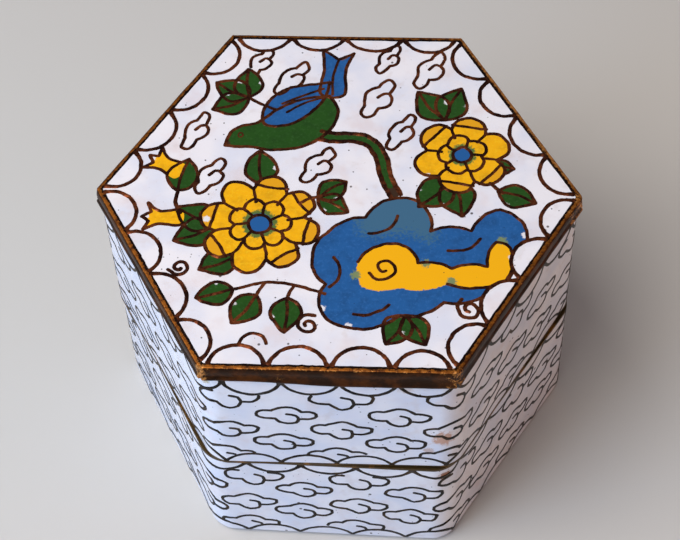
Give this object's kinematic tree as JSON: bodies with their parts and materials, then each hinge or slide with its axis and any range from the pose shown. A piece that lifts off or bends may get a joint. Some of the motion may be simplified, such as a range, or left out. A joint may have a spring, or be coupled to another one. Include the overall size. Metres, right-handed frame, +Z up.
{
  "type": "cloisonne enamel box",
  "caption": "Six-sided cloisonne enamel box on a flat base with a lift-off lid framed in brass; hollow and empty, for small things on a table.",
  "frame": {"origin": "middle of the flat underside", "axes": "+Z up; +X through a corner of the lower part, the longest way across; the lower part's front and back walls face -Y and +Y"},
  "size_m": [0.0684, 0.0604, 0.046],
  "materials": {
    "white_enamel": "glossy white vitreous enamel on copper, with small dark pits",
    "rim_brass": "dark patinated brass, worn bright at the edges",
    "ring_brass": "dull brass",
    "wire_brass": "thin flat wires, darkened brown",
    "green_enamel": "dark green vitreous enamel",
    "blue_enamel": "opaque blue vitreous enamel",
    "yellow_enamel": "opaque yellow vitreous enamel",
    "turquoise_enamel": "plain turquoise vitreous enamel, inside and underneath"
  },
  "bodies": {
    "root": {"base_body": "white_enamel", "base_mouth_ring": "ring_brass", "lid_body": "white_enamel", "lid_mouth_ring": "ring_brass", "lid_top_rim": "rim_brass"}
  },
  "joints": []
}
